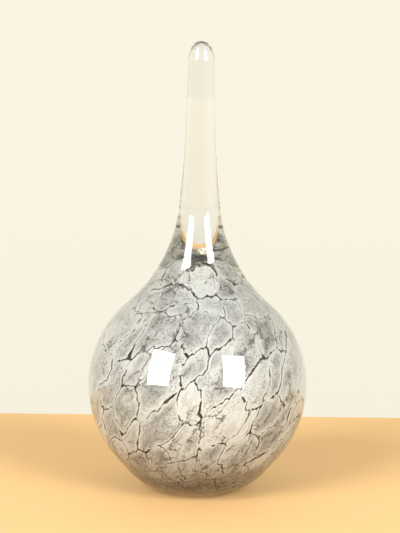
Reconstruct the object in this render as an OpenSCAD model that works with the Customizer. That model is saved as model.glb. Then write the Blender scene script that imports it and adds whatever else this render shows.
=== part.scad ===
// Closed glass drop: a blown bubble veined with black and crusted with crackled white enamel,
// cased in clear glass and drawn up into a solid clear stem.
// Millimetres, +Z up, origin at the centre of the ground foot.

/* [Overall] */
// Height from the ground foot to the tip of the stem
height = 330; // [310:1:340]
// Radius of the round body at its widest line, and of its lower half
bulb_r = 80; // [79:0.5:82]
// Height of the body's widest line above the foot
bulb_z = 78; // [77:0.5:79]
// Radius of the body's upper half, which is drawn in a little
upper_r = 77.5; // [76:0.5:79]
// Radius of the flat ground foot
foot_r = 19; // [16:0.5:24]
// Radius at which the slumped heel, drawn on straight, would meet the surface
heel_r = 38; // [34:0.5:40]

/* [Stem] */
// Radius of the hollow sweep from the body into the stem
shoulder_arc_r = 114; // [105:0.5:120]
// Radius of the long, slow taper of the stem
stem_arc_r = 1029; // [900:1:1200]
// Radius of the stem just under its rounded tip
stem_tip_r = 9.45; // [8.5:0.05:10.5]
// Height of the rounded tip
tip_h = 15.5; // [14:0.5:17]
// Radius of the very top of the tip
tip_cap_r = 7.8; // [7:0.1:8.5]
// Radius of the rounded root with which the stem sits in the casing
root_r = 18.75; // [18.5:0.05:19]
// Height of the lowest point of that root
root_z = 180; // [179:0.5:181]

/* [Coloured bubble] */
// Thickness of the clear casing round the body
casing_t = 6; // [5:0.5:7]
// Height of the top of the coloured bubble
dome_top = 172; // [170:0.5:174]
// Radius of its domed top
dome_r = 16; // [14:0.5:17]
// Radius of the hollow sweep from its body into the domed top
bubble_arc_r = 60; // [55:1:65]
// Thickness of the white enamel flakes
flake_t = 0.8; // [0.6:0.1:1.2]
// Thickness of the dark veil behind the flakes
veil_t = 0.6; // [0.4:0.1:1]
// Thickness of the clear lining inside the veil
lining_t = 3; // [2:0.5:4]

/* [Enamel flakes] */
// Number of places where the enamel can break into a flake
flake_count = 190; // [120:1:200]
// Flakes left out at the top, where the veil shows bare
bare_top = 1; // [1:1:4]
// Flakes left out at the bottom, round the seal
bare_bottom = 6; // [4:1:9]
// Unevenness of where the flakes lie
unevenness = 0.5; // [0:0.05:0.6]
// Unevenness of how large they are
size_spread = 0.008; // [0:0.001:0.01]
// How much taller than wide a flake is round the middle of the body
stretch = 1.7; // [1.4:0.05:2]
// How far the pattern had sunk when it was drawn out, which leaves small flakes low and large ones high
sink = 0.5; // [0:0.05:0.6]
// Twist of the pattern, in degrees of turn from the middle to the top
twist = 30; // [0:1:60]
// Turn of the whole pattern round the axis, in degrees
pattern_turn = 275; // [0:5:355]
// Share of a flake's size that its dark vein takes
vein_share = 0.07; // [0.05:0.01:0.12]

/* [Base seal] */
// Radius of the glass button that closes the blowing hole
seal_r = 8; // [6:0.5:9]
// How far the domed top of the button stands above the foot
seal_h = 11; // [10.5:0.5:12]

/* [Hidden] */
NODES = [
    "drawn_stem",
    "outer_casing",
    "flakes_crown",
    "flakes_shoulder",
    "flakes_upper",
    "flakes_middle",
    "flakes_lower",
    "flakes_heel",
    "dark_veil",
    "inner_bubble",
    "base_seal",
];
$fn = 96;
// Circles as large as the stem's taper need more sides
fine_fn = 2880;
far = 2 * height;

// Flakes go into bands by height, top first
band_names = [for (n = [2:7]) NODES[n]];
golden_angle = 137.508;

veil_depth = flake_t;
lining_depth = flake_t + veil_t;
cavity_depth = flake_t + veil_t + lining_t;
bubble_r = bulb_r - casing_t;
seal_dome_r = 2.5 * seal_r;

bulb_centre = [0, bulb_z];
upper_centre = [bulb_r - upper_r, bulb_z];
dome_centre = [0, dome_top - dome_r];
root_centre = [0, root_z + root_r];
tip_base_z = height - tip_h;
stem_arc_centre = [stem_tip_r + stem_arc_r, tip_base_z];
tip_cap_centre = [0, height - tip_cap_r];

// Where two circles meet, on the right of the line from the first to the second
function circles_meet(c1, r1, c2, r2) =
    let (gap = norm(c2 - c1), u = (c2 - c1) / gap)
    let (along = (r1 * r1 - r2 * r2 + gap * gap) / (2 * gap))
    let (aside = sqrt(r1 * r1 - along * along))
    c1 + along * u + aside * [u.y, -u.x];

// The point of a circle that faces another point
function facing(c, r, target) = c + r * (target - c) / norm(target - c);

// The shoulder's arc touches the body from outside and the stem's taper from inside
shoulder_centre = circles_meet(
    stem_arc_centre, stem_arc_r - shoulder_arc_r, upper_centre, upper_r + shoulder_arc_r);
shoulder_low = facing(upper_centre, upper_r, shoulder_centre);
shoulder_high = facing(stem_arc_centre, stem_arc_r, shoulder_centre);

bubble_arc_centre = circles_meet(
    bulb_centre, bubble_r + bubble_arc_r, dome_centre, dome_r + bubble_arc_r);

// The tip's flank is an arc that leaves the stem upright and touches the cap from outside
cap_rise = tip_cap_centre.y - tip_base_z;
cap_step = stem_tip_r - tip_cap_r;
flank_r = (cap_rise * cap_rise + cap_step * cap_step) / (2 * cap_step) + tip_cap_r;
flank_centre = [stem_tip_r - flank_r, tip_base_z];
flank_high = facing(flank_centre, flank_r, tip_cap_centre);

// The heel is a straight line that just touches the body, rounded where it meets the foot
heel_corner = [heel_r, 0];
corner_to_centre = norm(heel_corner - bulb_centre);
heel_length = sqrt(corner_to_centre * corner_to_centre - bulb_r * bulb_r);
heel_high = circles_meet(heel_corner, heel_length, bulb_centre, bulb_r);
heel_angle = atan2(heel_high.y, heel_high.x - heel_r);
heel_round_r = (heel_r - foot_r) / tan(heel_angle / 2);
heel_low = facing(heel_corner, heel_r - foot_r, heel_high);

// ---- Outlines, drawn as the right half of a section through the axis ----

module disc(centre, r, sides = $fn) {
    translate(centre) circle(r, $fn = sides);
}

module right_half() {
    intersection() {
        children();
        translate([0, -far]) square([far, 2 * far]);
    }
}

module above(z) {
    translate([0, z]) square([far, far]);
}

module heel_outline() {
    polygon([[0, 0], [foot_r, 0], heel_low, heel_high, [0, heel_high.y]]);
    disc([foot_r, heel_round_r], heel_round_r);
}

module shoulder_outline() {
    difference() {
        polygon([
            bulb_centre, upper_centre, shoulder_low, shoulder_centre, shoulder_high, [0, shoulder_high.y],
        ]);
        disc(shoulder_centre, shoulder_arc_r, fine_fn);
    }
}

module taper_outline() {
    difference() {
        translate([0, shoulder_high.y]) square([shoulder_high.x, tip_base_z - shoulder_high.y]);
        disc(stem_arc_centre, stem_arc_r, fine_fn);
    }
}

module tip_outline() {
    intersection() {
        disc(flank_centre, flank_r);
        translate([0, tip_base_z]) square([stem_tip_r, flank_high.y - tip_base_z]);
    }
    disc(tip_cap_centre, tip_cap_r);
}

module body_outline() {
    intersection() {
        disc(bulb_centre, bulb_r);
        square([bulb_r, bulb_z]);
    }
    intersection() {
        disc(upper_centre, upper_r);
        above(bulb_z);
    }
}

// The whole drop, outside
module drop_outline() {
    right_half() {
        heel_outline();
        body_outline();
        shoulder_outline();
        taper_outline();
        tip_outline();
    }
}

// The coloured bubble at a depth below its outside, so that layers nest face to face
module bubble_outline(depth) {
    arc_r = bubble_arc_r + depth;
    low = facing(bulb_centre, bubble_r - depth, bubble_arc_centre);
    high = facing(dome_centre, dome_r - depth, bubble_arc_centre);
    right_half() {
        disc(bulb_centre, bubble_r - depth);
        disc(dome_centre, dome_r - depth);
        difference() {
            polygon([bulb_centre, low, bubble_arc_centre, high, dome_centre]);
            disc(bubble_arc_centre, arc_r);
        }
    }
}

// Everything that belongs to the stem: its rounded root and all that stands above it
module stem_zone() {
    right_half() {
        disc(root_centre, root_r);
        above(root_centre.y);
    }
}

module seal_hole() {
    square([seal_r, seal_h + 1]);
}

module seal_outline() {
    right_half() intersection() {
        seal_hole();
        disc([0, seal_h - seal_dome_r], seal_dome_r);
    }
}

// A layer of the bubble between two depths, pierced by the blowing hole
module layer(outer_depth, inner_depth) {
    rotate_extrude() difference() {
        bubble_outline(outer_depth);
        bubble_outline(inner_depth);
        seal_hole();
    }
}

// ---- Crackle: the enamel breaks into cells round scattered seeds ----

function direction(height_share, azimuth) =
    let (ring = sqrt(1 - height_share * height_share))
    [ring * cos(azimuth), ring * sin(azimuth), height_share];

// Repeatable scatter from -1 to 1
function scatter(i, k) =
    let (s = 437.585453 * sin(i * k))
    2 * (s - floor(s)) - 1;

// Mean width of a cell on a ball of radius 1
cell_size = sqrt(4 * PI / flake_count);

function seed(i) =
    let (level = 1 - (2 * i + 1) / flake_count)
    let (ring = sqrt(1 - level * level))
    let (rise = unevenness * cell_size * ring * scatter(i, 73.1) / 2)
    let (swing = unevenness * cell_size / ring * scatter(i, 31.7) / 2 * 180 / PI)
    direction(min(max(level + rise, -1), 1), i * golden_angle + swing + pattern_turn);

seeds = [for (i = [0:flake_count - 1]) seed(i)];

// How strongly each seed pushes the shared edges away from itself
pushes = [for (i = [0:flake_count - 1]) 1 + size_spread * scatter(i, 51.3)];

// Cuts a flat convex cell by a line, and keeps the side where point * normal <= reach
function cut(cell, normal, reach) = [
    for (i = [0:len(cell) - 1])
    let (a = cell[i], b = cell[(i + 1) % len(cell)])
    let (past_a = a * normal - reach, past_b = b * normal - reach)
    each [
        if (past_a <= 0) a,
        if (past_a * past_b < 0) a + (b - a) * past_a / (past_a - past_b),
    ]
];

function cut_by(cell, lines, i = 0) =
    i == len(lines) ? cell : cut_by(cut(cell, lines[i][0], lines[i][1]), lines, i + 1);

// Two directions square to a unit vector, for a flat frame that touches the ball there
function across(s) = let (c = cross(s, abs(s.z) < 0.9 ? [0, 0, 1] : [1, 0, 0])) c / norm(c);
function up_from(s) = cross(across(s), s);

// Only seeds nearer than this cosine can share an edge with a cell
near_cosine = cos(4 * cell_size * 180 / PI / 2);

// The corners of one cell, as directions from the middle of the body
function cell_corners(i) =
    let (s = seeds[i], u = across(s), v = up_from(s))
    let (lines = [
        for (j = [0:flake_count - 1])
        let (t = seeds[j])
        if (j != i && t * s > near_cosine) [[t * u, t * v], pushes[i] / pushes[j] - t * s]
    ])
    [for (p = cut_by([[-1, -1], [1, -1], [1, 1], [-1, 1]], lines)) s + p.x * u + p.y * v];

// Draws the sunken pattern out along the axis, then winds it round the axis, as the hot glass was worked
function worked(d) =
    let (drawn = [d.x, d.y, stretch * d.z - sink])
    let (unit = drawn / norm(drawn), turn = twist * unit.z)
    [unit.x * cos(turn) - unit.y * sin(turn), unit.x * sin(turn) + unit.y * cos(turn), unit.z];

function mean(points) = [for (p = points) 1] * points / len(points);

// The corners of one flake, on a flat that is square to its middle and 1 from the body's centre
function flake_corners(i) =
    let (corners = [for (d = cell_corners(i)) worked(d)])
    let (m = mean(corners), middle = m / norm(m))
    [for (c = corners) let (p = c / (c * middle)) middle + (1 - vein_share) * (p - middle)];

// A wedge that points at the middle of the body and cuts one flake out of the enamel
module wedge(corners) {
    n = len(corners);
    inner = 0.75 * bubble_r;
    outer = 1.1 * (dome_top - bulb_z);
    polyhedron(
        [for (c = corners) inner * c, for (c = corners) outer * c],
        [
            [for (k = [n - 1:-1:0]) k],
            [for (k = [0:n - 1]) n + k],
            for (k = [0:n - 1]) [k, (k + 1) % n, n + (k + 1) % n, n + k],
        ]);
}

flake_numbers = [for (i = [bare_top:flake_count - 1 - bare_bottom]) i];

// The flakes of one band, counted from the top
module flake_band(name) {
    band = search([name], band_names)[0];
    bands = len(band_names);
    flakes = len(flake_numbers);
    first = round(band * flakes / bands);
    last = round((band + 1) * flakes / bands) - 1;
    for (k = [first:last]) intersection() {
        layer(0, veil_depth);
        translate([0, 0, bulb_z]) wedge(flake_corners(flake_numbers[k]));
    }
}

// ---- Sub-parts ----

module drawn_stem() {
    color([0.93, 0.95, 0.92, 0.45]) rotate_extrude() intersection() {
        drop_outline();
        stem_zone();
    }
}

module outer_casing() {
    color([0.88, 0.92, 0.93, 0.25]) rotate_extrude() difference() {
        drop_outline();
        stem_zone();
        bubble_outline(0);
        seal_hole();
    }
}

module flakes_crown() {
    color([0.66, 0.67, 0.66]) flake_band("flakes_crown");
}

module flakes_shoulder() {
    color([0.7, 0.71, 0.7]) flake_band("flakes_shoulder");
}

module flakes_upper() {
    color([0.78, 0.79, 0.79]) flake_band("flakes_upper");
}

module flakes_middle() {
    color([0.82, 0.83, 0.83]) flake_band("flakes_middle");
}

module flakes_lower() {
    color([0.8, 0.79, 0.77]) flake_band("flakes_lower");
}

module flakes_heel() {
    color([0.72, 0.69, 0.65]) flake_band("flakes_heel");
}

module dark_veil() {
    color([0.1, 0.1, 0.11]) layer(veil_depth, lining_depth);
}

module inner_bubble() {
    color([0.85, 0.9, 0.9, 0.4]) layer(lining_depth, cavity_depth);
}

module base_seal() {
    color([0.9, 0.93, 0.92, 0.5]) rotate_extrude() seal_outline();
}

drawn_stem();
outer_casing();
flakes_crown();
flakes_shoulder();
flakes_upper();
flakes_middle();
flakes_lower();
flakes_heel();
dark_veil();
inner_bubble();
base_seal();
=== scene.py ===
"""Looks of a closed hand-blown glass drop: white enamel with dark veins, cased in clear glass."""
import math

import bmesh
import bpy
import numpy as np
from mathutils import Matrix, Vector, geometry, noise


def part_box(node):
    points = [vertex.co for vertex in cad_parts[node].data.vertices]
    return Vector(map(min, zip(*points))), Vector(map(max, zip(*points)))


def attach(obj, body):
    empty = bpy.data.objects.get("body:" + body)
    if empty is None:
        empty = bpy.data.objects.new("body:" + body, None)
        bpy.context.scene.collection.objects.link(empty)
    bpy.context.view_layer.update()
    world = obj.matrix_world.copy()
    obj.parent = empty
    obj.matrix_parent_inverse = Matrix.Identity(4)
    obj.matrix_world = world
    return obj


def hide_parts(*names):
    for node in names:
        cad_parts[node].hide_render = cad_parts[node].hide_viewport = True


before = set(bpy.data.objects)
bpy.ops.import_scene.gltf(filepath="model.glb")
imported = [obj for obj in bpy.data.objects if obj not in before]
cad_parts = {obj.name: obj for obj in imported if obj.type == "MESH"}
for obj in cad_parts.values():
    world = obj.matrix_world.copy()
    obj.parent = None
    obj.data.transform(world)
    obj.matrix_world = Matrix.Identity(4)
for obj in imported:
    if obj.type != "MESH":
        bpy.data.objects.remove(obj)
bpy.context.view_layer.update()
# The noise fields below start from the clock unless they are given a seed
noise.seed_set(7)

# ---- Sizes, in metres ----

# Outline of the clear glass
BULB_Z = 0.078
UPPER_R = 0.0775
FOOT_R = 0.019
HEEL_R = 0.038
SHOULDER_ARC_R = 0.114
STEM_ARC_R = 1.029
STEM_TIP_R = 0.00945
TIP_H = 0.0155
TIP_CAP_R = 0.0078
ROOT_R = 0.01875

# The coloured bubble and its layers
CASING_T = 0.006
DOME_R = 0.016
BUBBLE_ARC_R = 0.06
FLAKE_T = 0.0008
VEIL_T = 0.0006
LINING_T = 0.003

# A stray crumb of enamel that hangs in the clear glass
CRUMB_CENTRE = Vector((0.0022, -0.001, 0.1757))
CRUMB_HALVES = (0.0026, 0.0018, 0.0027)

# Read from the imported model
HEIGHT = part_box("drawn_stem")[1].z
ROOT_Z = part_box("drawn_stem")[0].z
BULB_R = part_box("outer_casing")[1].x
DOME_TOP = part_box("dark_veil")[1].z + FLAKE_T
SEAL_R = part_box("base_seal")[1].x
SEAL_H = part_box("base_seal")[1].z
BUBBLE_R = BULB_R - CASING_T
SEAL_DOME_R = 2.5 * SEAL_R

# Fineness of the meshes
ARC_STEP = 0.0012
SEGMENTS = 256

# ---- Outlines: points (radius, height) of a section through the axis ----


def pair(r, z):
    return np.array((r, z), float)


def circles_meet(c1, r1, c2, r2):
    """Where two circles meet, on the right of the line from the first to the second."""
    gap = np.linalg.norm(c2 - c1)
    u = (c2 - c1) / gap
    along = (r1 * r1 - r2 * r2 + gap * gap) / (2 * gap)
    aside = math.sqrt(r1 * r1 - along * along)
    return c1 + along * u + aside * pair(u[1], -u[0])


def facing(centre, radius, target):
    """The point of a circle that faces another point."""
    return centre + radius * (target - centre) / np.linalg.norm(target - centre)


def arc(centre, start, end, step=ARC_STEP):
    """Points the short way round a centre, from start to end, both included."""
    a = math.atan2(start[1] - centre[1], start[0] - centre[0])
    b = math.atan2(end[1] - centre[1], end[0] - centre[0])
    turn = (b - a + math.pi) % (2 * math.pi) - math.pi
    radius = np.linalg.norm(start - centre)
    count = max(3, math.ceil(abs(turn) * radius / step))
    angles = a + turn * np.linspace(0, 1, count + 1)
    return centre + radius * np.column_stack((np.cos(angles), np.sin(angles)))


def straight(start, end, step=ARC_STEP):
    count = max(1, math.ceil(np.linalg.norm(end - start) / step))
    return start + (end - start) * np.linspace(0, 1, count + 1)[:, None]


def joined(*runs):
    """One run of points from several that share their end points."""
    return np.vstack([runs[0]] + [r[1:] for r in runs[1:]])


BULB_CENTRE = pair(0, BULB_Z)
UPPER_CENTRE = pair(BULB_R - UPPER_R, BULB_Z)
ROOT_CENTRE = pair(0, ROOT_Z + ROOT_R)
TIP_BASE = HEIGHT - TIP_H
STEM_CENTRE = pair(STEM_TIP_R + STEM_ARC_R, TIP_BASE)
SHOULDER_CENTRE = circles_meet(
    STEM_CENTRE, STEM_ARC_R - SHOULDER_ARC_R, UPPER_CENTRE, UPPER_R + SHOULDER_ARC_R)
# Where the stem's rounded root comes out through the shoulder
JOINT = circles_meet(ROOT_CENTRE, ROOT_R, SHOULDER_CENTRE, SHOULDER_ARC_R)


def foot_and_casing_outlines():
    """The outside below the joint, in two runs.

    The foot goes from the seal's edge to the end of its rounding, the casing on from there."""
    corner = pair(HEEL_R, 0)
    heel_length = math.sqrt(np.sum((corner - BULB_CENTRE) ** 2) - BULB_R ** 2)
    heel_high = circles_meet(corner, heel_length, BULB_CENTRE, BULB_R)
    heel_angle = math.atan2(heel_high[1], heel_high[0] - HEEL_R)
    heel_round_r = (HEEL_R - FOOT_R) / math.tan(heel_angle / 2)
    heel_low = facing(corner, HEEL_R - FOOT_R, heel_high)
    foot = joined(
        straight(pair(SEAL_R, 0), pair(FOOT_R, 0)),
        arc(pair(FOOT_R, heel_round_r), pair(FOOT_R, 0), heel_low),
    )

    shoulder_low = facing(UPPER_CENTRE, UPPER_R, SHOULDER_CENTRE)
    casing = joined(
        straight(heel_low, heel_high),
        arc(BULB_CENTRE, heel_high, pair(BULB_R, BULB_Z)),
        arc(UPPER_CENTRE, pair(BULB_R, BULB_Z), shoulder_low),
        arc(SHOULDER_CENTRE, shoulder_low, JOINT, ARC_STEP / 2),
    )
    return foot, casing


def stem_outline():
    """The outside from the joint up to the very top."""
    shoulder_high = facing(STEM_CENTRE, STEM_ARC_R, SHOULDER_CENTRE)
    cap_centre = pair(0, HEIGHT - TIP_CAP_R)
    rise, step = cap_centre[1] - TIP_BASE, STEM_TIP_R - TIP_CAP_R
    flank_r = (rise * rise + step * step) / (2 * step) + TIP_CAP_R
    flank_centre = pair(STEM_TIP_R - flank_r, TIP_BASE)
    flank_high = facing(flank_centre, flank_r, cap_centre)
    return joined(
        arc(SHOULDER_CENTRE, JOINT, shoulder_high, ARC_STEP / 2),
        arc(STEM_CENTRE, shoulder_high, pair(STEM_TIP_R, TIP_BASE)),
        arc(flank_centre, pair(STEM_TIP_R, TIP_BASE), flank_high, ARC_STEP / 3),
        arc(cap_centre, flank_high, pair(0, HEIGHT), ARC_STEP / 3),
    )


def bubble_outline(depth):
    """The coloured bubble at a depth below its outside, from its top to the edge of the seal."""
    dome_centre = pair(0, DOME_TOP - DOME_R)
    arc_centre = circles_meet(
        BULB_CENTRE, BUBBLE_R + BUBBLE_ARC_R, dome_centre, DOME_R + BUBBLE_ARC_R)
    radius = BUBBLE_R - depth
    low = facing(BULB_CENTRE, radius, arc_centre)
    high = facing(dome_centre, DOME_R - depth, arc_centre)
    side = BULB_CENTRE + pair(radius, 0)
    bottom = pair(SEAL_R, BULB_Z - math.sqrt(radius ** 2 - SEAL_R ** 2))
    return joined(
        arc(dome_centre, pair(0, DOME_TOP - depth), high, ARC_STEP / 2),
        arc(arc_centre, high, low),
        arc(BULB_CENTRE, low, side),
        arc(BULB_CENTRE, side, bottom),
    )


ROOT_BOWL = arc(ROOT_CENTRE, JOINT, pair(0, ROOT_Z))

# ---- Mesh helpers ----


def add_piece(name, verts, faces, materials, face_materials=None, sharp=math.radians(20)):
    mesh = bpy.data.meshes.new(name)
    mesh.from_pydata([tuple(v) for v in verts], [], faces)
    for m in materials:
        mesh.materials.append(m)
    if face_materials is not None:
        mesh.polygons.foreach_set("material_index", face_materials)
    mesh.shade_smooth()
    mesh.set_sharp_from_angle(angle=sharp)
    piece = bpy.data.objects.new(name, mesh)
    bpy.context.scene.collection.objects.link(piece)
    return piece


def lathe(name, runs, materials):
    """A closed body of revolution. runs: (points, material) in order round the section."""
    points, bands = [runs[0][0][0]], []
    for run, material in runs:
        points += list(run[1:])
        bands += [materials.index(material)] * (len(run) - 1)
    closed = np.linalg.norm(points[0] - points[-1]) < 1e-9
    if closed:
        points.pop()
    turns = np.linspace(0, 2 * math.pi, SEGMENTS, endpoint=False)
    ring = np.column_stack((np.cos(turns), np.sin(turns)))
    verts, first = [], []
    for r, z in points:
        first.append(len(verts))
        if r < 1e-7:
            verts.append((0, 0, z))
        else:
            verts += [(r * x, r * y, z) for x, y in ring]
    first_on_axis = [p[0] < 1e-7 for p in points]
    faces, numbers = [], []
    for i, number in enumerate(bands):
        k = (i + 1) % len(points)
        if first_on_axis[i] and first_on_axis[k]:
            continue
        for j in range(SEGMENTS):
            n = (j + 1) % SEGMENTS
            low = [first[i]] if first_on_axis[i] else [first[i] + j, first[i] + n]
            high = [first[k]] if first_on_axis[k] else [first[k] + n, first[k] + j]
            faces.append(low + high)
            numbers.append(number)
    # The section may run either way round, so the sign of its area settles which side is out
    section = np.array(points)
    ahead = np.roll(section, -1, axis=0)
    if np.sum((ahead + section)[:, 0] * (ahead - section)[:, 1]) < 0:
        faces = [f[::-1] for f in faces]
    return add_piece(name, verts, faces, materials, numbers)


# ---- Colours, as linear RGB ----

GLASS_TINT = (0.99, 0.99, 0.985)
FOOT_TINT = (0.99, 0.93, 0.85)

ENAMEL_PALE = (0.43, 0.445, 0.43)
ENAMEL_PALE_HIGH = (0.36, 0.372, 0.358)
ENAMEL_CLOUD = (0.17, 0.175, 0.168)
THREAD = (0.23, 0.23, 0.22)
# Painted light: the pale mottle brightens the far side of the dome, which the lamps hardly reach
FAR_PALE_PAINTED_LIGHT = (0.62, 0.62, 0.57)
FAR_DARK = (0.2, 0.2, 0.175)
SPECK = (0.075, 0.077, 0.073)
RIM = (0.5, 0.51, 0.49)
SIDE_LINE = (0.07, 0.065, 0.055)
CRACK = (0.06, 0.05, 0.04)
INK_BLACK = (0.03, 0.027, 0.023)
INK_BROWN = (0.08, 0.048, 0.027)
KNOT = (0.075, 0.045, 0.026)
# Painted shade: the darker brown of the lower body, which faces away from the lamps
PAINTED_SHADE_BROWN = (0.1, 0.064, 0.036)
# Painted shadow: the dark brown band along the very bottom, where the drop meets the floor
PAINTED_FOOT_SHADOW = (0.115, 0.068, 0.034)
UNDERSIDE = (0.55, 0.42, 0.29)
SOOT_BLACK = (0.025, 0.025, 0.023)
SOOT_GREY = (0.16, 0.16, 0.15)

VEIL_BLACK = (0.02, 0.018, 0.015)
VEIL_BROWN = (0.10, 0.075, 0.05)
VEIL_CRUST = (0.26, 0.26, 0.245)
VEIL_THROUGH = (0.8, 0.76, 0.68)
CHALK_PALE = (0.62, 0.59, 0.5)
CHALK_DARK = (0.2, 0.18, 0.14)

FLOOR_PALE = (0.63, 0.405, 0.18)
WALL_LOW = (0.93, 0.882, 0.732)
WALL_HIGH = (0.955, 0.91, 0.76)
ROOM_LOW = (0.26, 0.245, 0.21)
ROOM_HIGH = (0.46, 0.45, 0.42)
ROOM_RIGHT = (1.0, 0.97, 0.88)
LAMP_WHITE = (1, 0.99, 0.97)

# ---- Heights where each look of the bubble begins, and where it is full ----

LOW_BAND = (0.05, 0.008)
FOOT_SHADOW_BAND = (0.018, 0.004)
UNDERSIDE_BAND = (0.0105, 0.008)
KNOT_BAND = (0.06, 0.03)
BROWN_INK_BAND = (0.075, 0.03)
COARSE_BAND = (0.07, 0.1)
HIGH_BAND = (0.105, 0.135)
CRUST_BAND = (0.115, 0.15)
DOME_BAND = (0.135, 0.15)
# The same along Y, for the far side of the dome
BEHIND_BAND = (-0.004, 0.008)
# Middle of the smudge on the dome
SMUDGE_CENTRE = (0, 0.006, DOME_TOP)

# ---- Materials ----


class Nodes:
    """A short way to write the node tree of a material or of the world."""

    def __init__(self, owner, output="OutputMaterial"):
        owner.use_nodes = True
        self.owner = owner
        self.tree = owner.node_tree
        self.tree.nodes.clear()
        self.output = self.add(output)

    def feed(self, socket, value):
        if isinstance(value, bpy.types.NodeSocket):
            self.tree.links.new(value, socket)
        elif socket.type == "RGBA":
            socket.default_value = (*value, 1)
        else:
            socket.default_value = value

    def add(self, kind, sockets=None, **settings):
        """A node. sockets: a value or a link for each input, by its name or number."""
        node = self.tree.nodes.new("ShaderNode" + kind)
        for key, value in settings.items():
            setattr(node, key, value)
        for key, value in (sockets or {}).items():
            self.feed(node.inputs[key], value)
        return node

    def math(self, operation, a, b=0.0):
        return self.add("Math", {0: a, 1: b}, operation=operation).outputs[0]

    def times(self, a, b):
        return self.math("MULTIPLY", a, b)

    def plus(self, a, b):
        return self.math("ADD", a, b)

    def minus(self, a, b):
        return self.math("SUBTRACT", a, b)

    def mix(self, share, a, b):
        return self.add("Mix", {"Factor": share, 6: a, 7: b}, data_type="RGBA").outputs[2]

    def ramp(self, value, low, high, out_low=0.0, out_high=1.0):
        values = dict(enumerate((value, low, high, out_low, out_high)))
        return self.add("MapRange", values, interpolation_type="SMOOTHSTEP").outputs[0]

    def noise(self, place, scale, detail=2.0, rough=0.5):
        values = {"Vector": place, "Scale": scale, "Detail": detail, "Roughness": rough}
        return self.add("TexNoise", values).outputs["Fac"]

    def split(self, vector):
        return self.add("SeparateXYZ", {0: vector}).outputs

    def place(self):
        return self.add("TexCoord").outputs["Object"]

    def attribute(self, name, kind="Fac"):
        return self.add("Attribute", attribute_name=name).outputs[kind]

    def skin(self, colour, roughness, gloss=0):
        """An opaque surface."""
        return self.add("BsdfPrincipled", {
            "Base Color": colour, "Roughness": roughness, "Specular IOR Level": gloss})

    def blend(self, share, a, b):
        """A mix of two shader nodes."""
        return self.add("MixShader", {0: share, 1: a.outputs[0], 2: b.outputs[0]})

    def finish(self, shader):
        self.feed(self.output.inputs["Surface"], shader.outputs[0])
        return self.owner


class BubbleNodes(Nodes):
    """The nodes of a layer of the bubble, with its place and its height."""

    def __init__(self, name):
        super().__init__(bpy.data.materials.new(name))
        self.spot = self.place()
        axes = self.split(self.spot)
        self.back, self.height = axes["Y"], axes["Z"]


class EnamelNodes(BubbleNodes):
    """The same, with what each point of a flake carries.

    edge is the distance to the flake's edge in mm, tone is one value for each flake, ends is 1
    where the edge runs across the flake, and flow is the place before the glass was drawn out."""

    def __init__(self, name):
        super().__init__(name)
        self.edge = self.attribute("edge")
        self.tone = self.attribute("tone")
        self.ends = self.attribute("ends")
        self.flow = self.attribute("flow", "Vector")
        self.low = self.ramp(self.height, *LOW_BAND)
        self.high = self.ramp(self.height, *HIGH_BAND)
        # The far side of the dome, which shows through the neck
        behind = self.ramp(self.back, *BEHIND_BAND)
        self.far = self.times(self.ramp(self.height, *DOME_BAND), behind)
        # The middle of each flake, away from its paler border
        self.core = self.ramp(self.edge, 0.6, 4.5, 0.3, 1)


def clear_glass(name, tint, lit_through=True):
    """Smooth glass against air. Lit through, it lets the light straight in to what is inside."""
    n = Nodes(bpy.data.materials.new(name))
    waves = n.noise(n.place(), 45, 1)
    ripple = n.add("Bump", {"Strength": 0.05, "Distance": 0.001, "Height": waves})
    glass = n.add("BsdfPrincipled", {
        "Base Color": tint, "Transmission Weight": 1, "IOR": 1.5, "Roughness": 0,
        "Coat Weight": 0.25, "Coat Roughness": 0, "Normal": ripple.outputs[0]})
    if not lit_through:
        return n.finish(glass)
    rays = n.add("LightPath").outputs
    straight_on = n.math("MAXIMUM", rays["Is Shadow Ray"], rays["Is Diffuse Ray"])
    return n.finish(n.blend(straight_on, glass, n.add("BsdfTransparent", {"Color": tint})))


def fused():
    """Where glass is melted to glass, light goes straight on."""
    n = Nodes(bpy.data.materials.new("fused_joint"))
    return n.finish(n.add("BsdfTransparent"))


def matt(name, colour):
    """A plain surface with very little shine."""
    n = Nodes(bpy.data.materials.new(name))
    return n.finish(n.skin(colour, 0.6, 0.15))


def specks(n, scale, share):
    """Round dark specks in a share of the cells of a fine scatter."""
    cells = n.add("TexVoronoi", {"Vector": n.spot, "Scale": scale}).outputs
    pick = n.add("SeparateColor", {0: cells["Color"]}).outputs[0]
    return n.times(n.ramp(cells["Distance"], 0.6, 0.35), n.math("LESS_THAN", pick, share))


def clouds(n, colour):
    """Soft clouds, drawn out with the glass, that leave a paler border round each flake."""
    depth = n.plus(n.noise(n.flow, 95, 3, 0.6), n.times(n.tone, 0.3))
    share = n.times(n.ramp(depth, 0.46, 0.92, 0, 0.95), n.core)
    return n.mix(share, colour, ENAMEL_CLOUD)


def threads(n, colour):
    """Fine threads along the way the glass was drawn."""
    thin = n.add("VectorMath", {0: n.flow, 1: (1, 1, 0.16)}, operation="MULTIPLY").outputs[0]
    share = n.ramp(n.noise(thin, 620, 3, 0.7), 0.35, 0.7)
    return n.mix(n.times(share, 0.35), colour, THREAD)


def far_mottling_painted_light(n, colour):
    """Pale and dark mottling on the far side of the dome. The pale tone is painted light that
    brightens this side, which the lamps hardly reach.
    """
    mottled = n.mix(n.ramp(n.noise(n.spot, 240, 4, 0.8), 0.46, 0.6), FAR_PALE_PAINTED_LIGHT, FAR_DARK)
    return n.mix(n.times(n.far, 0.75), colour, mottled)


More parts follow.
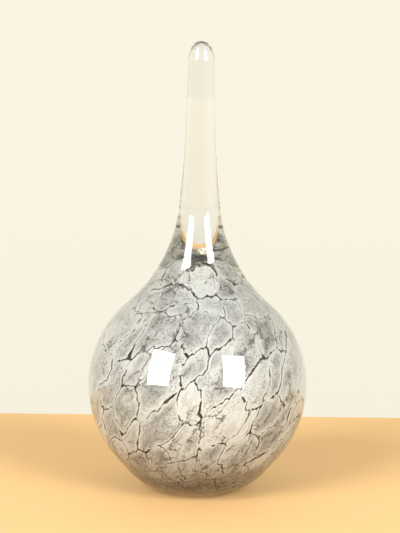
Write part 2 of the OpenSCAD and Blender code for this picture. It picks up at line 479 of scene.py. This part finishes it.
def grain(n, colour):
    """Fine dark specks, thick on some flakes and in the upper half."""
    thick = n.plus(n.noise(n.flow, 75, 2), n.times(n.minus(n.tone, 0.5), 0.3))
    thick = n.plus(thick, n.times(n.ramp(n.height, *COARSE_BAND), 0.06))
    dust = n.times(n.ramp(n.noise(n.spot, 1000, 4, 0.85), 0.45, 0.6), 0.45)
    share = n.math("MAXIMUM", dust, specks(n, 700, 0.6))
    share = n.times(n.times(share, n.ramp(thick, 0.36, 0.62, 0.3, 1)), n.core)
    return n.mix(n.times(share, 0.66), colour, SPECK)


def light_rim(n, colour):
    """A lighter rim, broken up."""
    share = n.times(n.ramp(n.edge, 1.9, 0.7), n.ramp(n.noise(n.spot, 330, 3, 0.7), 0.42, 0.62))
    return n.mix(n.times(share, 0.2), colour, RIM)


def side_line(n, colour):
    """A thin dark line that runs beside the long edges."""
    wander = n.times(n.minus(n.noise(n.flow, 150, 2), 0.5), 2.4)
    offset = n.math("ABSOLUTE", n.minus(n.plus(n.edge, wander), 2.0))
    share = n.times(n.ramp(offset, 0.4, 0.08), n.ramp(n.noise(n.flow, 50, 1), 0.47, 0.55))
    share = n.times(share, n.ramp(n.ends, 0.8, 0.4))
    return n.mix(n.times(share, 0.65), colour, SIDE_LINE)


def small_cracks(n, colour):
    """Smaller cracks inside the flakes, more of them low down and on the far side of the dome."""
    jitter = n.add("TexNoise", {"Vector": n.spot, "Scale": 420}).outputs["Color"]
    bent = n.add("VectorMath", {0: jitter, 1: (0.0045,) * 3, 2: n.flow}, operation="MULTIPLY_ADD")
    values = {"Vector": bent.outputs[0], "Scale": 90}
    away = n.add("TexVoronoi", values, feature="DISTANCE_TO_EDGE").outputs["Distance"]
    width = n.ramp(n.noise(n.spot, 260, 2), 0.45, 0.75, 0.012, 0.07)
    crack = n.ramp(n.minus(away, width), 0.02, -0.006)
    more = n.times(n.plus(n.low, n.far), 0.2)
    zone = n.ramp(n.plus(n.noise(n.flow, 45, 1), more), 0.5, 0.56)
    return n.mix(n.times(n.times(crack, zone), 0.8), colour, CRACK)


def black_edge(n, colour):
    """The ragged edge, wide at the ends of a flake and thin along its sides, black or brown."""
    reach = n.ramp(n.noise(n.spot, 110, 2), 0.32, 0.66)
    reach = n.times(reach, n.ramp(n.ends, 0.3, 0.85, 0.35, 0.85))
    ragged = n.times(n.ramp(n.noise(n.spot, 620, 4, 0.8), 0.34, 0.74), reach)
    fine = n.times(n.ramp(n.noise(n.spot, 1500, 2, 0.6), 0.4, 0.7), 0.45)
    share = n.ramp(n.minus(n.edge, n.plus(ragged, fine)), 0.16, -0.1)
    share = n.times(share, n.ramp(n.high, 0, 1, 0.92, 0.5))
    ink = n.mix(n.ramp(n.height, *BROWN_INK_BAND), INK_BLACK, INK_BROWN)
    return n.mix(share, colour, ink)


def knots(n, colour):
    """Brown knots, low down."""
    share = n.times(specks(n, 330, 0.22), n.ramp(n.height, *KNOT_BAND))
    share = n.times(share, n.ramp(n.noise(n.flow, 60, 2), 0.42, 0.6))
    return n.mix(n.times(share, 0.7), colour, KNOT)


def painted_low_shade(n, colour):
    """Painted shade: towards the foot, the enamel is painted a darker, browner tone, broken up by
    noise, where the body faces away from the lamps. A dark brown band at the very bottom is
    painted shadow where the drop meets the floor.
    """
    share = n.times(n.low, n.ramp(n.noise(n.flow, 70, 3), 0.3, 0.7, 0.45, 0.9))
    colour = n.mix(share, colour, PAINTED_SHADE_BROWN)
    # Painted shadow: a dark brown band along the very bottom of the enamel
    return n.mix(n.ramp(n.height, *FOOT_SHADOW_BAND, 0, 0.6), colour, PAINTED_FOOT_SHADOW)


def crust(n, colour):
    """A grey crust on the black glass of the dome."""
    share = n.ramp(n.noise(n.spot, 520, 4, 0.75), 0.42, 0.62)
    share = n.times(share, n.ramp(n.height, *CRUST_BAND))
    return n.mix(n.times(share, 0.8), colour, VEIL_CRUST)


def underside(n, colour):
    """Right under the drop the colours were stretched thin, and look light brown."""
    return n.mix(n.ramp(n.height, *UNDERSIDE_BAND, 0, 0.92), colour, UNDERSIDE)


def smudge(n, colour):
    """The black smudge on the top of the dome, broken up into grains."""
    away = n.add("VectorMath", {0: n.spot, 1: SMUDGE_CENTRE}, operation="DISTANCE")
    ragged = n.times(n.minus(n.noise(n.spot, 650, 4, 0.8), 0.5), 0.012)
    share = n.ramp(n.plus(away.outputs["Value"], ragged), 0.0145, 0.0115, 0, 0.95)
    soot = n.mix(n.ramp(n.noise(n.spot, 800, 3, 0.8), 0.5, 0.62), SOOT_BLACK, SOOT_GREY)
    return n.mix(share, colour, soot)


def enamel():
    """White enamel: pale grey under many thin layers of darker marks, with painted shade towards
    the foot and painted light on the far side of the dome.
    """
    n = EnamelNodes("crackled_enamel")
    colour = n.mix(n.high, ENAMEL_PALE, ENAMEL_PALE_HIGH)
    for layer in (clouds, threads, far_mottling_painted_light, grain, light_rim, side_line, small_cracks,
                  black_edge, knots, painted_low_shade, underside, smudge):
        colour = layer(n, colour)
    return n.finish(n.skin(colour, 0.9))


def smoky_veil():
    """Black glass with thin brown places where light gets through."""
    n = BubbleNodes("smoky_veil")
    streaks = n.noise(n.spot, 110, 3, 0.6)
    colour = n.mix(n.ramp(streaks, 0.45, 0.75), VEIL_BLACK, VEIL_BROWN)
    for layer in (crust, underside, smudge):
        colour = layer(n, colour)
    through = n.add("BsdfTransparent", {"Color": VEIL_THROUGH})
    return n.finish(n.blend(n.ramp(streaks, 0.4, 0.75, 0.95, 0.6), through, n.skin(colour, 0.6)))


def chalky():
    """The pale, grainy skin of a loose crumb of enamel."""
    n = Nodes(bpy.data.materials.new("enamel_crumb"))
    colour = n.mix(n.ramp(n.noise(n.place(), 700, 3, 0.7), 0.4, 0.65), CHALK_PALE, CHALK_DARK)
    return n.finish(n.skin(colour, 0.8))


CLEAR = clear_glass("clear_glass", GLASS_TINT)
# The curved foot bends the light away from the floor under it, so that stays dark
FOOT = clear_glass("foot_glass", FOOT_TINT, lit_through=False)
FUSED = fused()
ENAMEL = enamel()
VEIL = smoky_veil()
CHALK = chalky()

# ---- Clear glass pieces ----

HOLE_TOP = BULB_Z - math.sqrt((BUBBLE_R - FLAKE_T - VEIL_T - LINING_T) ** 2 - SEAL_R ** 2)


def add_crumb(piece):
    """A stray crumb of enamel caught in the clear glass just over the dome's top."""
    number = piece.data.materials.find(CHALK.name)
    bm = bmesh.new()
    bm.from_mesh(piece.data)
    lump = bmesh.ops.create_icosphere(bm, subdivisions=4, radius=1)["verts"]
    for v in lump:
        bumps = 0.45 * noise.noise(v.co * 1.6 + Vector((5, 0, 2)))
        grow = 1 + bumps + 0.25 * noise.noise(v.co * 4)
        v.co = CRUMB_CENTRE + Vector([c * half for c, half in zip(v.co, CRUMB_HALVES)]) * grow
        for face in v.link_faces:
            face.material_index = number
            face.smooth = True
    bm.to_mesh(piece.data)
    bm.free()
    return piece


def make_casing():
    """The clear glass round the bubble, with the foot, the joint to the stem and the crumb."""
    bubble = bubble_outline(0)
    foot, casing = foot_and_casing_outlines()
    return add_crumb(lathe("outer_casing_glass", [
        (foot, FOOT),
        (casing, CLEAR),
        (ROOT_BOWL, FUSED),
        (np.vstack((ROOT_BOWL[-1], bubble)), FUSED),
        (straight(bubble[-1], pair(SEAL_R, 0)), FUSED),
    ], [CLEAR, FUSED, CHALK, FOOT]))


def make_stem():
    """The solid stem, with the rounded root that sits in the casing."""
    return lathe("drawn_stem_glass", [
        (stem_outline(), CLEAR),
        (np.vstack((pair(0, HEIGHT), ROOT_BOWL[::-1])), FUSED),
    ], [CLEAR, FUSED])


def make_lining():
    """The clear glass inside the dark veil, open at the blowing hole."""
    outside = bubble_outline(FLAKE_T + VEIL_T)
    inside = bubble_outline(FLAKE_T + VEIL_T + LINING_T)
    return lathe("inner_bubble_glass", [
        (outside, FUSED),
        (straight(outside[-1], inside[-1]), FUSED),
        (inside[::-1], CLEAR),
        (np.vstack((inside[0], outside[0])), CLEAR),
    ], [CLEAR, FUSED])


def make_veil():
    """The dark glass behind the flakes."""
    outside = bubble_outline(FLAKE_T)
    inside = bubble_outline(FLAKE_T + VEIL_T)
    return lathe("dark_veil_glass", [
        (outside, VEIL),
        (straight(outside[-1], inside[-1]), VEIL),
        (inside[::-1], FUSED),
        (np.vstack((inside[0], outside[0])), VEIL),
    ], [VEIL, FUSED])


def make_seal():
    """The button that closes the blowing hole, with a low dome inside."""
    dome_centre = pair(0, SEAL_H - SEAL_DOME_R)
    edge_z = dome_centre[1] + math.sqrt(SEAL_DOME_R ** 2 - SEAL_R ** 2)
    return lathe("base_seal_glass", [
        (straight(pair(0, 0), pair(SEAL_R, 0)), CLEAR),
        (straight(pair(SEAL_R, 0), pair(SEAL_R, HOLE_TOP)), FUSED),
        (straight(pair(SEAL_R, HOLE_TOP), pair(SEAL_R, edge_z)), CLEAR),
        (arc(dome_centre, pair(SEAL_R, edge_z), pair(0, SEAL_H)), CLEAR),
    ], [CLEAR, FUSED])


# ---- Enamel flakes ----

# How the pattern was worked: sunk, drawn out upwards, then twisted
STRETCH = 1.7
SINK = 0.5
TWIST = math.radians(30)
# Share of each cell that the CAD flakes leave for the vein
VEIN_SHARE = 0.07
# How finely a flake's outline is drawn, and how far its corners are cut
OUTLINE_STEP = 0.0007
CORNER_CUT = 0.0007
# The flakes sit this far inside the casing, so that the two surfaces don't flicker
SETTLE = 0.00003
# The edge of a flake lies this far below its front
EDGE_DROP = 0.0002
# A flake's mesh, from the middle of its front over its edge to the middle of its back:
# share of the way from the middle to the edge, and depth
RINGS = (
    (0.3, 0), (0.58, 0), (0.76, 0), (0.88, 0), (0.95, 0), (1, EDGE_DROP),
    (0.75, FLAKE_T), (0.4, FLAKE_T),
)
# What each point of a flake carries
FACTS = {"edge": "FLOAT", "tone": "FLOAT", "ends": "FLOAT", "flow": "FLOAT_VECTOR"}
# Half the width of a vein: its least, how far it varies, and what is added at a flake's ends
VEIN_LEAST = 0.00005
VEIN_SWING = 0.00022
VEIN_AT_ENDS = 0.0001
BODY_CENTRE = Vector((0, 0, BULB_Z))

surface = bubble_outline(0) - BULB_CENTRE
SURFACE_ANGLE = np.arctan2(surface[:, 0], surface[:, 1])
SURFACE_REACH = np.linalg.norm(surface, axis=1)


def unit(d):
    return d / np.linalg.norm(d, axis=1)[:, None]


def on_bubble(directions):
    """Points of the bubble's surface in the given directions from the body's centre."""
    d = unit(directions)
    angle = np.arctan2(np.hypot(d[:, 0], d[:, 1]), d[:, 2])
    reach = np.interp(angle, SURFACE_ANGLE, SURFACE_REACH)
    return d * reach[:, None] + np.array(BODY_CENTRE)


def islands(node):
    """The points of each separate solid of a CAD node, measured from the body's centre."""
    bm = bmesh.new()
    bm.from_mesh(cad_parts[node].data)
    bmesh.ops.remove_doubles(bm, verts=bm.verts, dist=1e-6)
    seen = set()
    found = []
    for start in bm.verts:
        if start in seen:
            continue
        seen.add(start)
        group, front = [], [start]
        while front:
            v = front.pop()
            group.append(v.co - BODY_CENTRE)
            for e in v.link_edges:
                w = e.other_vert(v)
                if w not in seen:
                    seen.add(w)
                    front.append(w)
        found.append(np.array(group))
    bm.free()
    return found


class Cell:
    """The cell of one flake, which can be flattened on a plane square to its middle."""

    def __init__(self, points):
        directions = unit(points)
        self.reach = np.linalg.norm(points, axis=1).mean()
        self.middle = directions.mean(0)
        self.middle /= np.linalg.norm(self.middle)
        self.level = np.cross((0, 0, 1), self.middle)
        self.level /= np.linalg.norm(self.level)
        self.up = np.cross(self.middle, self.level)
        self.corners = corners_of(self.flatten(directions))

    def flatten(self, points):
        flat = np.column_stack((points @ self.level, points @ self.up))
        return flat / (points @ self.middle)[:, None]

    def spread(self, flat):
        """The same points back on the body, at about the cell's distance from its centre."""
        return (self.middle + flat[:, :1] * self.level + flat[:, 1:] * self.up) * self.reach


def corners_of(flat):
    """Corners of the hull of flat points, moved out over the part that was left for the vein."""
    hull = flat[geometry.convex_hull_2d([tuple(p) for p in flat])]
    corners = []
    for i, p in enumerate(hull):
        a, b = p - hull[i - 1], hull[(i + 1) % len(hull)] - p
        turn = abs(math.atan2(a[0] * b[1] - a[1] * b[0], a @ b))
        if turn > math.radians(5):
            corners.append(p)
    corners = np.array(corners)
    centre = corners.mean(0)
    return centre + (corners - centre) / (1 - VEIN_SHARE)


def rounded(corners, cut):
    """Cuts the corners of a closed outline at a set distance, then halves the cuts once more."""
    for reach in (cut, cut / 3):
        ahead = np.roll(corners, -1, axis=0)
        length = np.linalg.norm(ahead - corners, axis=1)[:, None]
        step = (ahead - corners) / length * np.minimum(reach, length / 3)
        corners = np.stack((corners + step, ahead - step), 1).reshape(-1, 2)
    return corners


def evenly(outline, step):
    """The same closed outline with points at even steps."""
    loop = np.vstack((outline, outline[:1]))
    lengths = np.concatenate(([0], np.cumsum(np.linalg.norm(np.diff(loop, axis=0), axis=1))))
    count = max(24, int(lengths[-1] / step))
    at = np.linspace(0, lengths[-1], count, endpoint=False)
    return np.column_stack([np.interp(at, lengths, loop[:, k]) for k in (0, 1)])


def turned(d, angle):
    c, s = np.cos(angle), np.sin(angle)
    return np.column_stack((d[:, 0] * c - d[:, 1] * s, d[:, 0] * s + d[:, 1] * c, d[:, 2]))


def worked(base):
    """Where a direction ends up when the glass has been drawn out and twisted."""
    d = unit(base * (1, 1, STRETCH) - (0, 0, SINK))
    return turned(d, TWIST * d[:, 2])


def unworked(directions):
    """Where directions lay before that."""
    d = unit(directions)
    d = turned(d, -TWIST * d[:, 2])
    a = d[:, 0] ** 2 + d[:, 1] ** 2 + (d[:, 2] / STRETCH) ** 2
    b = d[:, 2] * SINK / STRETCH ** 2
    reach = (-b + np.sqrt(b * b - a * (SINK * SINK / STRETCH ** 2 - 1))) / a
    return np.column_stack((reach * d[:, 0], reach * d[:, 1], (reach * d[:, 2] + SINK) / STRETCH))


def streak(directions):
    """The way the pattern is drawn out at each direction."""
    ahead = worked(unit(unworked(directions) + (0, 0, 0.01)))
    return unit(ahead - unit(directions))


def noise_at(points, scale, offset):
    return np.array([noise.noise(Vector(p) * scale + Vector((offset, 0, 0))) for p in points])


def warped(points):
    """Moves points by smooth random fields, so that shared edges wander together.

    The finest field moves them only along the streaks, so the ends of the flakes are jagged."""
    moved = []
    for p in points:
        v = Vector(p)
        slow = noise.noise_vector(v * 60 + Vector((3, 1, 7)))
        quick = noise.noise_vector(v * 190 + Vector((9, 4, 2)))
        moved.append(slow * 0.005 + quick * 0.0014)
    jag = 0.0026 * noise_at(points, 260, 4.0) + 0.0016 * noise_at(points, 620, 8.0)
    return points + np.array(moved) + streak(points) * jag[:, None]


def to_edge(points, outline):
    """Distance from each point to a closed outline."""
    a, b = outline, np.roll(outline, -1, axis=0)
    ab = b - a
    ap = points[:, None] - a[None]
    t = np.clip((ap * ab).sum(2) / (ab * ab).sum(1), 0, 1)
    return np.sqrt(((ap - t[..., None] * ab) ** 2).sum(2)).min(1)


def ragged_outline(cell):
    """The middle of the vein round a flake."""
    smooth = evenly(rounded(cell.corners, CORNER_CUT / cell.reach), OUTLINE_STEP / cell.reach)
    return cell.flatten(warped(cell.spread(smooth)))


def ends_of(outline):
    """1 where the outline runs across the flake, which is at its ends, and 0 along its sides."""
    away = outline - outline.mean(0)
    # The narrow way of the flake, from the spread of its outline
    across = np.linalg.eigh(away.T @ away)[1][:, 0]
    tangent = unit(np.roll(outline, -2, axis=0) - np.roll(outline, 2, axis=0))
    return np.abs(tangent @ across)


def clear_of_vein(cell, outline, centre, ends):
    """The outline, drawn back from the middle of the vein."""
    swing = np.clip(noise_at(cell.spread(outline), 95, 11.0) + 0.1, 0, 1)
    half_vein = VEIN_LEAST + VEIN_SWING * swing + VEIN_AT_ENDS * ends ** 2
    away = outline - centre
    length = np.linalg.norm(away, axis=1)
    return centre + away * (1 - half_vein / cell.reach / length)[:, None]


def shell_faces(count):
    """Faces between the rings of a flake and to the middle of its front and of its back."""
    faces = []
    starts = [1 + k * count for k in range(len(RINGS))]
    last = starts[-1] + count
    for j in range(count):
        n = (j + 1) % count
        faces.append((0, 1 + j, 1 + n))
        for a, b in zip(starts, starts[1:]):
            faces.append((a + j, b + j, b + n, a + n))
        faces.append((starts[-1] + j, last, starts[-1] + n))
    return faces


def one_flake(points, number):
    """Vertices and faces of one flake, and what its points carry."""
    cell = Cell(points)
    outline = ragged_outline(cell)
    centre = outline.mean(0)
    ends = ends_of(outline)
    outline = clear_of_vein(cell, outline, centre, ends)

    rings = [centre + (outline - centre) * share for share, _ in RINGS]
    flat = np.vstack([centre, *rings, centre])
    depth = np.concatenate([[0], *([d] * len(outline) for _, d in RINGS), [FLAKE_T]])
    verts = on_bubble(cell.spread(flat))
    out = verts - np.array(BODY_CENTRE)
    verts -= unit(out) * (depth + SETTLE)[:, None]

    tone = noise.noise(Vector((number * 1.37, 2.1, 0.4))) + 0.5
    facts = {
        "edge": to_edge(flat, outline) * cell.reach * 1000,
        "tone": np.full(len(flat), tone),
        "ends": np.concatenate([[0], *[ends] * len(RINGS), [0]]),
        "flow": unworked(out) * BUBBLE_R,
    }
    return verts, shell_faces(len(outline)), facts


def make_flakes(node):
    """The piece that takes the place of one group of CAD flakes, all of them in one mesh."""
    verts, faces, facts = [], [], {key: [] for key in FACTS}
    for number, points in enumerate(islands(node)):
        # The length of the name sets the tones of one group apart from those of another
        v, f, own = one_flake(points, number + 31 * len(node))
        faces += [tuple(i + len(verts) for i in face) for face in f]
        verts += list(v)
        for key, values in facts.items():
            values.append(own[key])
    piece = add_piece(node + "_enamel", verts, faces, [ENAMEL], sharp=math.radians(60))
    for key, kind in FACTS.items():
        field = "vector" if kind == "FLOAT_VECTOR" else "value"
        data = piece.data.attributes.new(key, kind, "POINT").data
        data.foreach_set(field, np.concatenate(facts[key]).ravel())
    return piece


def place(piece, node, slot):
    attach(piece, "root")
    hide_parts(node)


place(make_casing(), "outer_casing", "casing_glass")
place(make_stem(), "drawn_stem", "stem_glass")
place(make_lining(), "inner_bubble", "lining_glass")
place(make_veil(), "dark_veil", "dark_glass")
place(make_seal(), "base_seal", "seal_glass")
for band in ("crown", "shoulder", "upper", "middle", "lower", "heel"):
    place(make_flakes("flakes_" + band), "flakes_" + band, "white_enamel")

# ---- Stage ----

# The floor lies a little below the foot, and ends where the wall begins
FLOOR_DROP = 0.0003
FLOOR_BACK = 0.225
FLOOR_FRONT = 1.2
FLOOR_HALF = 1.6


def make_floor():
    mesh = bpy.data.meshes.new("floor")
    corners = [
        (-FLOOR_HALF, -FLOOR_FRONT, -FLOOR_DROP), (FLOOR_HALF, -FLOOR_FRONT, -FLOOR_DROP),
        (FLOOR_HALF, FLOOR_BACK, -FLOOR_DROP), (-FLOOR_HALF, FLOOR_BACK, -FLOOR_DROP)]
    mesh.from_pydata(corners, [], [(0, 1, 2, 3)])
    mesh.materials.append(matt("pale_floor", FLOOR_PALE))
    floor = bpy.data.objects.new("floor", mesh)
    bpy.context.scene.collection.objects.link(floor)


make_floor()

LAMP_DISTANCE = 4
LAMP_WATTS_PER_AREA = 54
LAMPS_FACE = Vector((0, 0, 0.1))


def facing_back(out, roll):
    """The turn of a lamp or a camera that looks back along a direction, rolled about it."""
    return (-out).to_track_quat("-Z", "Y").to_matrix().to_4x4() @ Matrix.Rotation(roll, 4, "Z")


def softbox(name, azimuth, elevation, width, height, roll):
    """A tall lamp that faces the drop. Azimuth is 0 in front and grows to the right."""
    a, e = math.radians(azimuth), math.radians(elevation)
    out = Vector((math.sin(a) * math.cos(e), -math.cos(a) * math.cos(e), math.sin(e)))
    data = bpy.data.lights.new(name, "AREA")
    data.shape, data.size, data.size_y = "RECTANGLE", width, height
    data.energy = LAMP_WATTS_PER_AREA * width * height
    data.color = LAMP_WHITE
    lamp = bpy.data.objects.new(name, data)
    lamp.location = LAMPS_FACE + out * LAMP_DISTANCE
    lamp.rotation_euler = facing_back(out, math.radians(roll)).to_euler()
    lamp.visible_camera = False
    bpy.context.scene.collection.objects.link(lamp)


softbox("softbox_left", -44, 25.5, 1.75, 2.5, 5)
softbox("softbox_right", 42, 23, 1.7, 2.3, -14)


# Where the tones of the room change, by how far a direction points up, right or back
WALL_BAND = (-0.24, -0.14)
ROOM_BAND = (-0.1, 0.7)
RIGHT_BAND = (0.3, 1)
BACK_BAND = (-0.2, 0.3)


def make_world():
    """A cream wall behind the drop, and a dim room to its sides and in front."""
    n = Nodes(bpy.data.worlds.new("studio"), "OutputWorld")
    right, back, up = n.split(n.add("TexCoord").outputs["Generated"])
    wall = n.mix(n.ramp(up, *WALL_BAND), WALL_LOW, WALL_HIGH)
    room = n.mix(n.ramp(up, *ROOM_BAND), ROOM_LOW, ROOM_HIGH)
    room = n.mix(n.ramp(right, *RIGHT_BAND), room, ROOM_RIGHT)
    colour = n.mix(n.ramp(back, *BACK_BAND), room, wall)
    bpy.context.scene.world = n.finish(n.add("Background", {"Color": colour}))


make_world()

# ---- Camera ----

CAMERA_ELEVATION = math.radians(10.5)
CAMERA_ROLL = math.radians(0.68)
CAMERA_DISTANCE = 2.0
AIM = Vector((0.0008, 0, 0.16555))
# Height of the picture where the drop stands
SHOWN_HEIGHT = 0.3878
FILM = 36


def make_camera():
    """A long lens, a little above the drop."""
    data = bpy.data.cameras.new("camera")
    data.sensor_fit = "VERTICAL"
    data.sensor_height = data.sensor_width = FILM
    data.lens = FILM * CAMERA_DISTANCE / SHOWN_HEIGHT
    data.clip_start, data.clip_end = 0.05, 20
    camera = bpy.data.objects.new("camera", data)
    bpy.context.scene.collection.objects.link(camera)
    out = Vector((0, -math.cos(CAMERA_ELEVATION), math.sin(CAMERA_ELEVATION)))
    stand = Matrix.Translation(AIM + out * CAMERA_DISTANCE)
    camera.matrix_world = stand @ facing_back(out, CAMERA_ROLL)
    bpy.context.scene.camera = camera


make_camera()

scene = bpy.context.scene
scene.view_settings.view_transform = "Standard"
scene.cycles.transparent_max_bounces = 48
scene.cycles.transmission_bounces = 24
scene.cycles.max_bounces = 32
scene.cycles.glossy_bounces = 12
